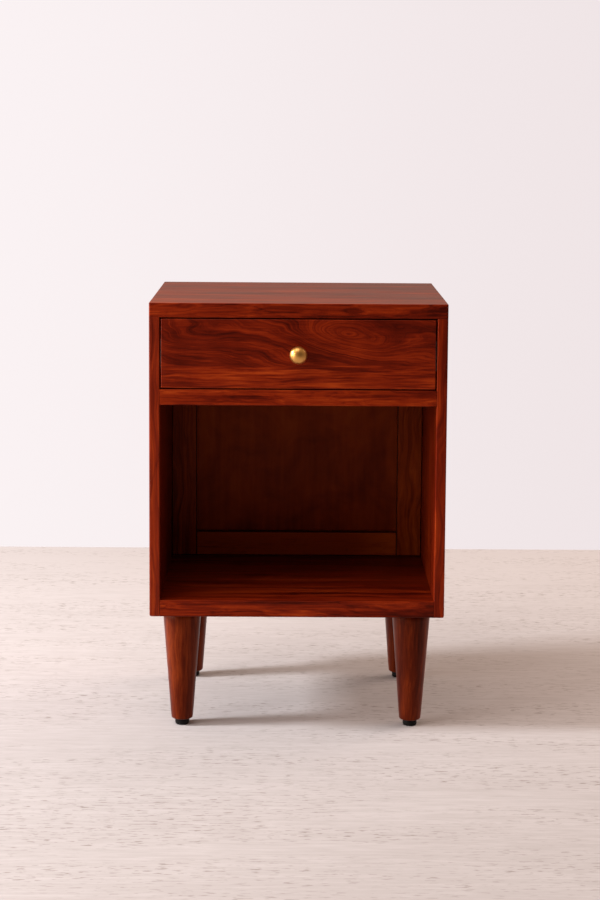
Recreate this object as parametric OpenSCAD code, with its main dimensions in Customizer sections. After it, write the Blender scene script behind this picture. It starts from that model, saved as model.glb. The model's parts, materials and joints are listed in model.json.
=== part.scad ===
// Bedside cabinet: one inset drawer on telescopic slides above an open
// cubby, on four turned legs with screw-in levelling glides.
// +Z up, the front faces -Y, and the origin is on the floor under the
// middle of the whole outline, knob included.

/* [Case] */
// Width of the case over its sides
case_w = 450; // [370:5:600]
// Depth of the case from front edge to back edge
case_d = 380; // [310:5:500]
// Height of the case from the bottom panel's underside to the top
case_h = 481; // [400:1:640]
// Thickness of the top panel, which covers the sides
top_t = 22; // [18:0.5:30]
// Thickness of each side panel
side_t = 16; // [15:0.5:24]
// Thickness of the panel between drawer and cubby
divider_t = 24; // [18:0.5:32]
// Thickness of the bottom panel
bottom_t = 25; // [20:0.5:36]
// Radius of the eased board edges
edge_r = 1.2; // [0.4:0.1:2.5]
// Radius of the bottom outer corners of the sides
corner_r = 3; // [1:0.5:8]

/* [Back] */
// Thickness of the back frame's stiles and rails
frame_t = 20; // [18:0.5:28]
// Width of each back stile
stile_w = 41; // [38:1:70]
// Height of the rail on the cubby floor
bottom_rail_h = 40; // [34:1:80]
// Height of the rail under the top panel
top_rail_h = 55; // [34:1:90]
// Depth of the recess behind the back frame
back_recess = 35; // [4:1:60]
// Thickness of the plywood back panel
panel_t = 6; // [4:0.5:8]
// Width of the rebate that holds the back panel
rebate_w = 12; // [8:0.5:16]
// Gap between the back panel's edges and its rebate
panel_gap = 0.5; // [0.2:0.1:1.5]

/* [Drawer] */
// Height of the drawer opening
opening_h = 109; // [90:1:140]
// Gap around the inset drawer front
front_gap = 2; // [1.2:0.1:4]
// Thickness of the drawer front
front_t = 20; // [16:0.5:26]
// Thickness of the drawer box sides and back
box_t = 12; // [10:0.5:16]
// Height of the drawer box sides
box_h = 80; // [64:1:90]
// Gap between the divider and the drawer box
box_lift = 10; // [4:0.5:14]
// Gap between the drawer box and the back frame
box_back_gap = 3; // [2:0.5:30]
// Thickness of the plywood drawer bottom
floor_t = 5; // [3:0.5:6]
// Height of the drawer bottom above the lower edge of the box
floor_lift = 9; // [6:0.5:14]
// Depth of the grooves that hold the drawer bottom
groove_d = 5; // [3:0.5:6]
// Gap between the drawer bottom's edges and its grooves
groove_gap = 0.5; // [0.2:0.1:1]

/* [Knob] */
// Diameter of the knob's head
knob_d = 27; // [20:0.5:36]
// Distance that the knob stands proud of the drawer front
knob_proj = 25; // [20:0.5:36]
// Length of the knob's neck
knob_neck_l = 8; // [4:0.5:12]
// Diameter of the knob's neck
knob_neck_d = 13; // [10:0.5:18]
// Diameter of the knob's screw
knob_screw_d = 4; // [3:0.5:5]
// Depth that the screw runs into the knob
knob_screw_in = 12; // [8:0.5:16]
// Diameter of the knob screw's head
knob_screw_head_d = 9; // [7:0.5:12]
// Height of the knob screw's head
knob_screw_head_h = 2.6; // [1.6:0.1:4]

/* [Legs] */
// Length of each turned leg
leg_h = 175; // [120:1:240]
// Diameter of a leg at the case
leg_top_d = 60; // [44:1:70]
// Diameter of a leg at its foot
leg_foot_d = 33.5; // [26:0.5:44]
// Distance from the case's side to a front leg's axis
front_leg_inset_x = 47; // [36:0.5:90]
// Distance from the case's side to a back leg's axis
back_leg_inset_x = 50.5; // [36:0.5:90]
// Distance from the case's front edge to a front leg's axis
front_leg_inset_y = 58; // [36:0.5:90]
// Distance from the case's back edge to a back leg's axis
back_leg_inset_y = 48; // [36:0.5:90]
// Radius of the eased edge at the foot
leg_edge_r = 2; // [0.5:0.5:4]
// Diameter of the hanger bolt that holds a leg
bolt_d = 8; // [6:1:10]
// Length of the hanger bolt's thread in the bottom panel
bolt_up = 14; // [10:0.5:16]
// Length of the hanger bolt's thread in the leg
bolt_down = 36; // [24:1:50]
// Outer diameter of the threaded insert in the bottom panel
insert_d = 12; // [11:0.5:16]
// Length of the threaded insert in the bottom panel
insert_l = 15; // [12:0.5:17]

/* [Glides] */
// Diameter of the plastic glide
glide_d = 22; // [16:0.5:26]
// Height of the plastic glide
glide_h = 10; // [7:0.5:14]
// Radius of the glide's lower edge
glide_edge_r = 2.5; // [0.5:0.5:4]
// Diameter of the glide's threaded stem
stem_d = 6; // [5:0.5:8]
// Length of the stem above the glide
stem_l = 22; // [18:1:34]
// Depth that the stem is held in the glide
stem_in = 6; // [4:0.5:6.5]
// Outer diameter of the threaded sleeve in the foot
sleeve_d = 10; // [9:0.5:14]
// Length of the threaded sleeve in the foot
sleeve_l = 12; // [8:0.5:16]

/* [Slides] */
// Space between the drawer box and each case side
slide_space = 12.7; // [12.7:0.1:16]
// Height of the case member of a slide
slide_h = 45.6; // [42:0.1:52]
// Sheet thickness of the slide members
sheet_t = 1.2; // [0.8:0.1:1.4]
// Sheet thickness of the ball cages
cage_t = 0.6; // [0.4:0.1:0.8]
// Gap between a slide's sheets, side by side
sheet_gap = 0.4; // [0.3:0.05:0.5]
// Diameter of the bearing balls
ball_d = 3.2; // [2.4:0.1:3.4]
// Gap between a ball and each raceway
ball_gap = 0.3; // [0.3:0.05:0.5]
// Distance between neighbouring balls
ball_pitch = 36; // [10:1:60]
// Slides come in lengths that are multiples of this
slide_step = 50; // [25:25:50]
// Gap between the drawer front and the slides, and behind the slides
slide_setback = 2; // [1:0.5:20]
// Length of slide that stays engaged when the drawer is fully out
slide_hold = 20; // [10:5:80]

/* [Fastenings] */
// Diameter of the case dowels
dowel_d = 8; // [6:0.5:8]
// Length of the case dowels
dowel_l = 32; // [28:1:36]
// Depth of a case dowel in a side panel's face
dowel_in_side = 10; // [8:0.5:11]
// Depth of a case dowel in the top panel
dowel_in_top = 12; // [8:0.5:14]
// Diameter of the drawer dowels
pin_d = 6; // [5:0.5:6]
// Length of the drawer dowels
pin_l = 26; // [20:1:30]
// Depth of a drawer dowel in the drawer front
pin_in_front = 10; // [8:0.5:12]
// Depth of a drawer dowel in a box side's face
pin_in_side = 8; // [6:0.5:8.5]
// Gap between a dowel's or screw's end and the end of its hole
end_gap = 1; // [0.5:0.1:2]
// Radial gap between a dowel, screw or sleeve and its hole
fit_gap = 0.05; // [0.02:0.01:0.1]
// Shank diameter of the small countersunk screws
screw_d = 3; // [2.5:0.1:3.5]
// Head diameter of the small countersunk screws
screw_head_d = 6; // [5:0.1:6.5]
// Length of the small countersunk screws
screw_l = 10; // [8:0.5:10.5]

/* [Hidden] */
$fn = 64;

LEFT = -1;
RIGHT = 1;
FRONT = -1;
BACK = 1;
WOOD = [0.36, 0.12, 0.07];
WOOD_TOP = [0.42, 0.16, 0.10];
WOOD_FRONT = [0.45, 0.15, 0.07];
WOOD_INSIDE = [0.27, 0.10, 0.06];
WOOD_BOX = [0.72, 0.55, 0.36];
PLY = [0.30, 0.13, 0.08];
BEECH = [0.80, 0.66, 0.46];
BRASS = [0.72, 0.56, 0.28];
STEEL = [0.66, 0.67, 0.69];
PLASTIC = [0.05, 0.05, 0.05];

// how far a cut runs past the face that it opens
cut_over = 1;

// case outline
front_y = (knob_proj - case_d) / 2;
back_y = front_y + case_d;
case_z = glide_h + leg_h;
top_z = case_z + case_h;
top_under_z = top_z - top_t;
inner_w = case_w - 2 * side_t;
divider_top_z = top_under_z - opening_h;
divider_z = divider_top_z - divider_t;
cubby_z = case_z + bottom_t;

// back frame
frame_y = back_y - back_recess - frame_t;
rebate_y = frame_y + frame_t - panel_t;
rail_w = inner_w - 2 * stile_w;
top_rail_z = top_under_z - top_rail_h;
panel_w = rail_w + 2 * rebate_w;
panel_z = cubby_z + bottom_rail_h - rebate_w;
panel_h = top_rail_z + rebate_w - panel_z;

// drawer box
box_y = front_y + front_t;
box_l = frame_y - box_back_gap - box_y;
box_w = inner_w - 2 * slide_space;
box_z = divider_top_z + box_lift;
box_inner_w = box_w - 2 * box_t;
floor_z = box_z + floor_lift;
front_h = opening_h - 2 * front_gap;
knob_z = divider_top_z + opening_h / 2;

// slides: u runs from the case side to the drawer box
slide_l = slide_step * floor((frame_y - box_y - 2 * slide_setback) / slide_step);
slide_y = box_y + slide_setback;
slide_z = box_z + box_h / 2;
slide_travel = slide_l - slide_hold;
raceway = ball_d + 2 * ball_gap;
outer_half = slide_h / 2;
outer_ball_z = outer_half - sheet_t - raceway / 2;
middle_half = outer_half - sheet_t - raceway;
inner_ball_z = middle_half - sheet_t - raceway / 2;
inner_half = middle_half - sheet_t - raceway;
lip_gap = 1;
member_step = 2;
outer_lip_u = slide_space - sheet_t - 2 * sheet_gap - lip_gap;
outer_cage_u = sheet_t + sheet_gap;
middle_u = outer_cage_u + cage_t + sheet_gap;
middle_web_u = middle_u + member_step;
middle_lip_u = slide_space - sheet_t - 2 * sheet_gap;
inner_cage_u = middle_web_u + sheet_t + sheet_gap;
inner_u = inner_cage_u + cage_t + sheet_gap;
outer_ball_u = (middle_u + outer_lip_u) / 2;
inner_ball_u = (inner_u + middle_lip_u) / 2;
cage_l = slide_l - slide_travel / 2;
cage_y = slide_y + slide_travel / 4;

// ball cages
strip_t = 0.8;
cage_end = 5;
strip_edge = 0.6;

// places of the dowels and screws, from the edges of the boards that they join
top_dowel_inset = 40;
bottom_dowel_inset = 25;
divider_dowel_inset = 30;
stile_dowel_inset = 20;
rail_outer_inset = 12;
rail_inner_inset = 16;
pin_low_inset = 12;
pin_high_inset = 16;
floor_screw_inset = 40;
screw_inset = 24;
screw_ys = spread(3, screw_inset, slide_l - screw_inset);

// turned and moulded details
rim_share = 0.42;
flare = 1;
flare_h = 1.2;
glide_chamfer = 0.6;
stem_clearance = 0.5;
knob_screw_clearance = 0.25;
head_taper = 0.8;
recess_l = 5;
recess_w = 1;
recess_h = 1.2;

// Evenly spaced positions from a to b
function spread(n, a, b) = [for (i = [0:n - 1]) a + (b - a) * i / (n - 1)];
// Points of an arc of radius r about c, from angle a to angle b
function arc(c, r, a, b, n = 6) =
    [for (i = [0:n]) c + r * [cos(a + (b - a) * i / n), sin(a + (b - a) * i / n)]];

// The leg's axis in plan, at one corner
function leg_place(side, row) = [
    side * (case_w / 2 - (row == FRONT ? front_leg_inset_x : back_leg_inset_x)),
    row == FRONT ? front_y + front_leg_inset_y : back_y - back_leg_inset_y
];
leg_places = [for (row = [FRONT, BACK], side = [LEFT, RIGHT]) leg_place(side, row)];

module eased_rect(a, b, r) {
    translate([r, 0]) square([a - 2 * r, b]);
    translate([0, r]) square([a, b - 2 * r]);
    for (x = [r, a - r], y = [r, b - r]) translate([x, y]) circle(r);
}

// A board with one corner at the origin and all its edges eased
module board(size, r = edge_r) {
    intersection() {
        linear_extrude(size.z) eased_rect(size.x, size.y, r);
        translate([0, size.y, 0]) rotate([90, 0, 0]) linear_extrude(size.y) eased_rect(size.x, size.z, r);
        rotate([90, 0, 90]) linear_extrude(size.x) eased_rect(size.y, size.z, r);
    }
}

// A round peg centred on p, along X, Y or Z
module peg(p, axis, d, l) {
    turn = axis == "x" ? [0, 90, 0] : axis == "y" ? [90, 0, 0] : [0, 0, 0];
    translate(p) rotate(turn) cylinder(h = l, d = d, center = true);
}

// A countersunk screw that points along -Z, with its head's face at z = 0
module screw(d, head_d, l, gap = 0, tip = 0) {
    head_h = (head_d - d) / 2;
    rotate_extrude() polygon([
        [0, 0], [head_d / 2 + gap, 0], [d / 2 + gap, -head_h], [d / 2 + gap, -l - tip], [0, -l - tip]
    ]);
}

// Case dowels; gap and over make the holes that they sit in
module dowel_set(gap = 0, over = 0) {
    d = dowel_d + 2 * gap;
    l = dowel_l + 2 * over;
    face_x = inner_w / 2 + dowel_in_side - dowel_l / 2;
    frame_dowel_y = (frame_y + rebate_y) / 2;
    rail_dowel_zs = [
        cubby_z + rail_outer_inset, cubby_z + bottom_rail_h - rail_inner_inset,
        top_rail_z + rail_inner_inset, top_under_z - rail_outer_inset
    ];
    for (side = [LEFT, RIGHT]) {
        for (y = spread(3, front_y + top_dowel_inset, back_y - top_dowel_inset))
            peg([side * (case_w - side_t) / 2, y, top_under_z + dowel_in_top - dowel_l / 2], "z", d, l);
        for (y = spread(4, front_y + bottom_dowel_inset, back_y - bottom_dowel_inset))
            peg([side * face_x, y, case_z + bottom_t / 2], "x", d, l);
        for (y = spread(3, front_y + divider_dowel_inset, frame_y - divider_dowel_inset))
            peg([side * face_x, y, divider_z + divider_t / 2], "x", d, l);
        for (z = spread(3, cubby_z + bottom_rail_h + stile_dowel_inset, top_rail_z - stile_dowel_inset))
            peg([side * face_x, frame_dowel_y, z], "x", d, l);
        for (z = rail_dowel_zs) peg([side * rail_w / 2, frame_dowel_y, z], "x", d, l);
    }
}

module case_board(at, size, tone = WOOD) {
    color(tone) difference() {
        translate(at) board(size);
        dowel_set(fit_gap, end_gap);
    }
}

module top_panel() {
    case_board([-case_w / 2, front_y, top_under_z], [case_w, case_d, top_t], WOOD_TOP);
}

// A side's section in plan is eased; its bottom outer corner is rounded
module side_panel(side) {
    h = case_h - top_t;
    face = side * case_w / 2;
    color(WOOD) difference() {
        translate([side == LEFT ? face : face - side_t, front_y, case_z]) intersection() {
            board([side_t, case_d, h]);
            translate([0, case_d, 0]) rotate([90, 0, 0]) linear_extrude(case_d) {
                translate([0, corner_r]) square([side_t, h - corner_r]);
                translate([side == LEFT ? corner_r : 0, 0]) square([side_t - corner_r, h]);
                translate([side == LEFT ? corner_r : side_t - corner_r, corner_r]) circle(corner_r);
            }
        }
        dowel_set(fit_gap, end_gap);
        slide_screw_holes_in_case(side);
    }
}

module divider_panel() {
    case_board([-inner_w / 2, front_y, divider_z], [inner_w, frame_y - front_y, divider_t]);
}

module bottom_panel() {
    color(WOOD) difference() {
        translate([-inner_w / 2, front_y, case_z]) board([inner_w, case_d, bottom_t]);
        dowel_set(fit_gap, end_gap);
        for (p = leg_places)
            translate([p.x, p.y, case_z - cut_over])
                cylinder(h = insert_l + end_gap + cut_over, d = insert_d + 2 * fit_gap);
    }
}

// The stepped recess around the back frame's opening that holds the back panel
module panel_rebate() {
    translate([-panel_w / 2, rebate_y, panel_z]) cube([panel_w, frame_t, panel_h]);
}

module frame_member(at, size) {
    color(WOOD_INSIDE) difference() {
        translate(at) board(size);
        panel_rebate();
        dowel_set(fit_gap, end_gap);
        panel_screw_set(fit_gap, end_gap);
    }
}

module back_stile(side) {
    frame_member([side == LEFT ? -inner_w / 2 : inner_w / 2 - stile_w, frame_y, cubby_z],
                 [stile_w, frame_t, top_under_z - cubby_z]);
}

module back_top_rail() {
    frame_member([-rail_w / 2, frame_y, top_rail_z], [rail_w, frame_t, top_rail_h]);
}

module back_bottom_rail() {
    frame_member([-rail_w / 2, frame_y, cubby_z], [rail_w, frame_t, bottom_rail_h]);
}

module panel_screw_set(gap = 0, tip = 0) {
    edge_x = panel_w / 2 - rebate_w / 2;
    low_z = panel_z + rebate_w / 2;
    high_z = panel_z + panel_h - rebate_w / 2;
    sides = [for (x = [-edge_x, edge_x], z = spread(4, low_z, high_z)) [x, z]];
    ends = [for (x = [-edge_x / 3, edge_x / 3], z = [low_z, high_z]) [x, z]];
    for (p = concat(sides, ends))
        translate([p.x, rebate_y + panel_t, p.y]) rotate([-90, 0, 0])
            screw(screw_d, screw_head_d, panel_t + screw_l, gap, tip);
}

module back_panel() {
    color(PLY) difference() {
        translate([-panel_w / 2 + panel_gap, rebate_y, panel_z + panel_gap])
            cube([panel_w - 2 * panel_gap, panel_t, panel_h - 2 * panel_gap]);
        panel_screw_set(fit_gap);
    }
}

module back_panel_screws() {
    color(STEEL) panel_screw_set();
}

module case_dowels() {
    color(BEECH) dowel_set();
}

// A straight taper with an eased foot, bored for its bolt, sleeve and stem
module leg(side, row) {
    foot = leg_foot_d / 2;
    color(WOOD) translate(concat(leg_place(side, row), glide_h)) difference() {
        rotate_extrude() polygon(concat(
            [[0, 0]],
            arc([foot - leg_edge_r, leg_edge_r], leg_edge_r, -90, 0),
            [[leg_top_d / 2, leg_h], [0, leg_h]]
        ));
        translate([0, 0, leg_h - bolt_down - end_gap])
            cylinder(h = bolt_down + end_gap + cut_over, d = bolt_d + 2 * fit_gap);
        translate([0, 0, -cut_over]) cylinder(h = sleeve_l + cut_over, d = sleeve_d + 2 * fit_gap);
        cylinder(h = stem_l + end_gap, d = stem_d + 2 * stem_clearance);
    }
}

module leg_bolts() {
    color(STEEL) for (p = leg_places)
        translate([p.x, p.y, case_z - bolt_down]) cylinder(h = bolt_down + bolt_up, d = bolt_d);
}

module bottom_inserts() {
    color(BRASS) for (p = leg_places)
        translate([p.x, p.y, case_z]) difference() {
            cylinder(h = insert_l, d = insert_d);
            translate([0, 0, -cut_over]) cylinder(h = insert_l + 2 * cut_over, d = bolt_d + 2 * fit_gap);
        }
}

module foot_sleeves() {
    color(BRASS) for (p = leg_places)
        translate([p.x, p.y, glide_h]) difference() {
            cylinder(h = sleeve_l, d = sleeve_d);
            translate([0, 0, -cut_over]) cylinder(h = sleeve_l + 2 * cut_over, d = stem_d + 2 * fit_gap);
        }
}

module glide(side, row) {
    r = glide_d / 2;
    color(PLASTIC) translate(concat(leg_place(side, row), 0)) difference() {
        rotate_extrude() polygon(concat(
            [[0, 0]],
            arc([r - glide_edge_r, glide_edge_r], glide_edge_r, -90, 0),
            [[r, glide_h - glide_chamfer], [r - glide_chamfer, glide_h], [0, glide_h]]
        ));
        translate([0, 0, glide_h - stem_in]) cylinder(h = stem_in + cut_over, d = stem_d + 2 * fit_gap);
    }
}

module glide_stem(side, row) {
    color(STEEL) translate(concat(leg_place(side, row), glide_h - stem_in))
        cylinder(h = stem_in + stem_l, d = stem_d);
}

// Drawer dowels; gap and over make their holes
module pin_set(gap = 0, over = 0) {
    d = pin_d + 2 * gap;
    l = pin_l + 2 * over;
    side_x = (box_w - box_t) / 2;
    back_pin_y = box_y + box_l - box_t / 2;
    pin_zs = [floor_z + floor_t + pin_low_inset, box_z + box_h - pin_high_inset];
    for (side = [LEFT, RIGHT], z = pin_zs) {
        peg([side * side_x, box_y - pin_in_front + pin_l / 2, z], "y", d, l);
        peg([side * (box_w / 2 - box_t + pin_in_side - pin_l / 2), back_pin_y, z], "x", d, l);
    }
}

// The space that the drawer bottom and its gap fill
module floor_slot() {
    w = box_inner_w + 2 * groove_d;
    translate([-w / 2, box_y - groove_d, floor_z]) cube([w, box_l + groove_d + cut_over, floor_t]);
}

module drawer_front() {
    w = inner_w - 2 * front_gap;
    color(WOOD_FRONT) difference() {
        translate([-w / 2, front_y, divider_top_z + front_gap]) board([w, front_t, front_h]);
        floor_slot();
        pin_set(fit_gap, end_gap);
        peg([0, front_y + front_t / 2, knob_z], "y", knob_screw_d + 2 * knob_screw_clearance,
            front_t + 2 * cut_over);
    }
}

module drawer_side(side) {
    color(WOOD_BOX) difference() {
        translate([side == LEFT ? -box_w / 2 : box_w / 2 - box_t, box_y, box_z]) board([box_t, box_l, box_h]);
        floor_slot();
        pin_set(fit_gap, end_gap);
        slide_screw_holes_in_drawer(side);
    }
}

module drawer_back() {
    z = floor_z + floor_t;
    color(WOOD_BOX) difference() {
        translate([-box_inner_w / 2, box_y + box_l - box_t, z])
            board([box_inner_w, box_t, box_z + box_h - z]);
        pin_set(fit_gap, end_gap);
        floor_screw_set(fit_gap, end_gap);
    }
}

module floor_screw_set(gap = 0, tip = 0) {
    for (x = spread(3, floor_screw_inset - box_inner_w / 2, box_inner_w / 2 - floor_screw_inset))
        translate([x, box_y + box_l - box_t / 2, floor_z]) rotate([180, 0, 0])
            screw(screw_d, screw_head_d, floor_t + screw_l, gap, tip);
}

module drawer_bottom() {
    w = box_inner_w + 2 * (groove_d - groove_gap);
    color(PLY) difference() {
        translate([-w / 2, box_y - groove_d + groove_gap, floor_z])
            cube([w, box_l + groove_d - groove_gap, floor_t]);
        floor_screw_set(fit_gap);
    }
}

module drawer_dowels() {
    color(BEECH) pin_set();
}

module drawer_bottom_screws() {
    color(STEEL) floor_screw_set();
}

// A turned mushroom knob: flared neck, rounded rim and a soft dome
module knob() {
    r = knob_d / 2;
    neck = knob_neck_d / 2;
    rim_z = knob_neck_l + (knob_proj - knob_neck_l) * rim_share;
    under = rim_z - knob_neck_l;
    dome = knob_proj - rim_z;
    start = acos(neck / r);
    color(BRASS) translate([0, front_y, knob_z]) rotate([90, 0, 0]) difference() {
        rotate_extrude() polygon(concat(
            [[0, 0], [neck + flare, 0], [neck + flare, flare_h], [neck, 2 * flare_h]],
            [for (i = [0:8]) let (a = -start * (1 - i / 8))
                [r * cos(a), rim_z + under * sin(a) / sin(start)]],
            [for (i = [1:12]) [r * cos(90 * i / 12), rim_z + dome * sin(90 * i / 12)]]
        ));
        translate([0, 0, -cut_over])
            cylinder(h = knob_screw_in + end_gap + cut_over, d = knob_screw_d + 2 * fit_gap);
    }
}

module knob_screw() {
    color(STEEL) translate([0, front_y + front_t, knob_z]) rotate([90, 0, 0]) {
        cylinder(h = front_t + knob_screw_in, d = knob_screw_d);
        translate([0, 0, -knob_screw_head_h]) difference() {
            cylinder(h = knob_screw_head_h, d1 = knob_screw_head_d * head_taper, d2 = knob_screw_head_d);
            for (turn = [0, 90]) rotate(turn) translate([-recess_l / 2, -recess_w / 2, -cut_over])
                cube([recess_l, recess_w, recess_h + cut_over]);
        }
    }
}

// Puts a left-hand slide piece in place, or its mirror image on the right
module on_side(side) {
    mirror([side == RIGHT ? 1 : 0, 0, 0]) translate([-inner_w / 2, slide_y, slide_z]) children();
}

// A channel of folded sheet: a web at web_u and two flanges from u0 to u1
module channel(half, web_u, u0, u1) {
    translate([web_u, 0, -half]) cube([sheet_t, slide_l, 2 * half]);
    for (z = [-half, half - sheet_t]) translate([u0, 0, z]) cube([u1 - u0, slide_l, sheet_t]);
}

module case_screw_set(gap = 0, tip = 0) {
    for (y = screw_ys) translate([sheet_t, y, 0]) rotate([0, 90, 0])
        screw(screw_d, screw_d + 2 * sheet_t, sheet_t + screw_l, gap, tip);
}

module drawer_screw_set(gap = 0, tip = 0) {
    for (y = screw_ys) translate([slide_space - sheet_t, y, 0]) rotate([0, -90, 0])
        screw(screw_d, screw_d + 2 * sheet_t, sheet_t + box_t - 2 * end_gap, gap, tip);
}

module slide_screw_holes_in_case(side) {
    on_side(side) case_screw_set(fit_gap, end_gap);
}

module slide_screw_holes_in_drawer(side) {
    on_side(side) drawer_screw_set(fit_gap, end_gap);
}

module slide_outer(side) {
    color(STEEL) on_side(side) difference() {
        channel(outer_half, 0, 0, outer_lip_u);
        case_screw_set(fit_gap);
    }
}

module slide_middle(side) {
    color(STEEL) on_side(side) channel(middle_half, middle_web_u, middle_u, middle_lip_u);
}

module slide_inner(side) {
    color(STEEL) on_side(side) difference() {
        channel(inner_half, slide_space - sheet_t, inner_u, slide_space);
        drawer_screw_set(fit_gap);
    }
}

// A ball cage: a web with a strip above and below, and a row of balls in each
module cage(side, web_u, ball_u, ball_z) {
    n = floor((cage_l - 2 * cage_end) / ball_pitch);
    first = (cage_l - n * ball_pitch) / 2;
    ball_ys = [for (i = [0:n]) first + i * ball_pitch];
    half = ball_z + strip_t / 2;
    strip_w = ball_u + ball_d / 2 + strip_edge - web_u;
    color(BRASS) on_side(side) translate([0, cage_y - slide_y, 0]) {
        difference() {
            union() {
                translate([web_u, 0, -half]) cube([cage_t, cage_l, 2 * half]);
                for (z = [-half, half - strip_t]) translate([web_u, 0, z]) cube([strip_w, cage_l, strip_t]);
            }
            for (z = [-ball_z, ball_z], y = ball_ys)
                peg([ball_u, y, z], "z", ball_d + 2 * fit_gap, 2 * strip_t);
        }
        for (z = [-ball_z, ball_z], y = ball_ys) translate([ball_u, y, z]) sphere(d = ball_d);
    }
}

module cage_outer(side) {
    cage(side, outer_cage_u, outer_ball_u, outer_ball_z);
}

module cage_inner(side) {
    cage(side, inner_cage_u, inner_ball_u, inner_ball_z);
}

module slide_case_screws() {
    color(STEEL) for (side = [LEFT, RIGHT]) on_side(side) case_screw_set();
}

module slide_drawer_screws() {
    color(STEEL) for (side = [LEFT, RIGHT]) on_side(side) drawer_screw_set();
}

top_panel();
side_panel(LEFT);  // left_side
side_panel(RIGHT);  // right_side
divider_panel();
bottom_panel();
back_stile(LEFT);  // back_left_stile
back_stile(RIGHT);  // back_right_stile
back_top_rail();
back_bottom_rail();
back_panel();
back_panel_screws();
case_dowels();
leg(LEFT, FRONT);  // front_left_leg
leg(RIGHT, FRONT);  // front_right_leg
leg(LEFT, BACK);  // back_left_leg
leg(RIGHT, BACK);  // back_right_leg
leg_bolts();
bottom_inserts();
foot_sleeves();
glide(LEFT, FRONT);  // front_left_glide
glide(RIGHT, FRONT);  // front_right_glide
glide(LEFT, BACK);  // back_left_glide
glide(RIGHT, BACK);  // back_right_glide
glide_stem(LEFT, FRONT);  // front_left_glide_stem
glide_stem(RIGHT, FRONT);  // front_right_glide_stem
glide_stem(LEFT, BACK);  // back_left_glide_stem
glide_stem(RIGHT, BACK);  // back_right_glide_stem
drawer_front();
drawer_side(LEFT);  // drawer_left_side
drawer_side(RIGHT);  // drawer_right_side
drawer_back();
drawer_bottom();
drawer_dowels();
drawer_bottom_screws();
knob();
knob_screw();
slide_outer(LEFT);  // left_slide_outer
slide_outer(RIGHT);  // right_slide_outer
slide_middle(LEFT);  // left_slide_middle
slide_middle(RIGHT);  // right_slide_middle
slide_inner(LEFT);  // left_slide_inner
slide_inner(RIGHT);  // right_slide_inner
cage_outer(LEFT);  // left_cage_outer
cage_outer(RIGHT);  // right_cage_outer
cage_inner(LEFT);  // left_cage_inner
cage_inner(RIGHT);  // right_cage_inner
slide_case_screws();
slide_drawer_screws();
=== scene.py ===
"""Looks for a nightstand: lacquered hardwood boards, turned legs, a brass knob and a plain studio."""
import json
import math

import bmesh
import bpy
from mathutils import Matrix, Vector


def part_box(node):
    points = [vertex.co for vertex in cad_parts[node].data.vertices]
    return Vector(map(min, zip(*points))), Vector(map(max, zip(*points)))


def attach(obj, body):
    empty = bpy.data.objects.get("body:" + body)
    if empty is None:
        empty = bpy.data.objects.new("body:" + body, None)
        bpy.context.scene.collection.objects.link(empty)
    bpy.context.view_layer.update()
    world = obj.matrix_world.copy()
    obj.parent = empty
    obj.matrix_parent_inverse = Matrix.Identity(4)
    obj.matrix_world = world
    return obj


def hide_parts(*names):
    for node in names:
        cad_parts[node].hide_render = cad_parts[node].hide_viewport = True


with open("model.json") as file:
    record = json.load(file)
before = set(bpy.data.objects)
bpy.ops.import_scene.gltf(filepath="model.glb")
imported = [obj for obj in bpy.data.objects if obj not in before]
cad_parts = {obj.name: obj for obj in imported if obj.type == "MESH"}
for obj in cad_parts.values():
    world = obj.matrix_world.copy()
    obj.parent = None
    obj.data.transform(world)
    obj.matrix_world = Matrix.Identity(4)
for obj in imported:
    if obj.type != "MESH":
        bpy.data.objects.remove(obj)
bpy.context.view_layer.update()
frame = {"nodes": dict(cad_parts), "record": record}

FRONT_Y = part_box("left_side")[0].y
BODY_OF = {n: b for b, names in frame["record"]["behaviour"]["bodies"].items() for n in names}
SLOT_OF = {s["node"]: s["material_slot"] for s in frame["record"]["subparts"]}
CORNERS = ("front_left", "front_right", "back_left", "back_right")


# ---------------------------------------------------------------- shader graph

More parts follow.
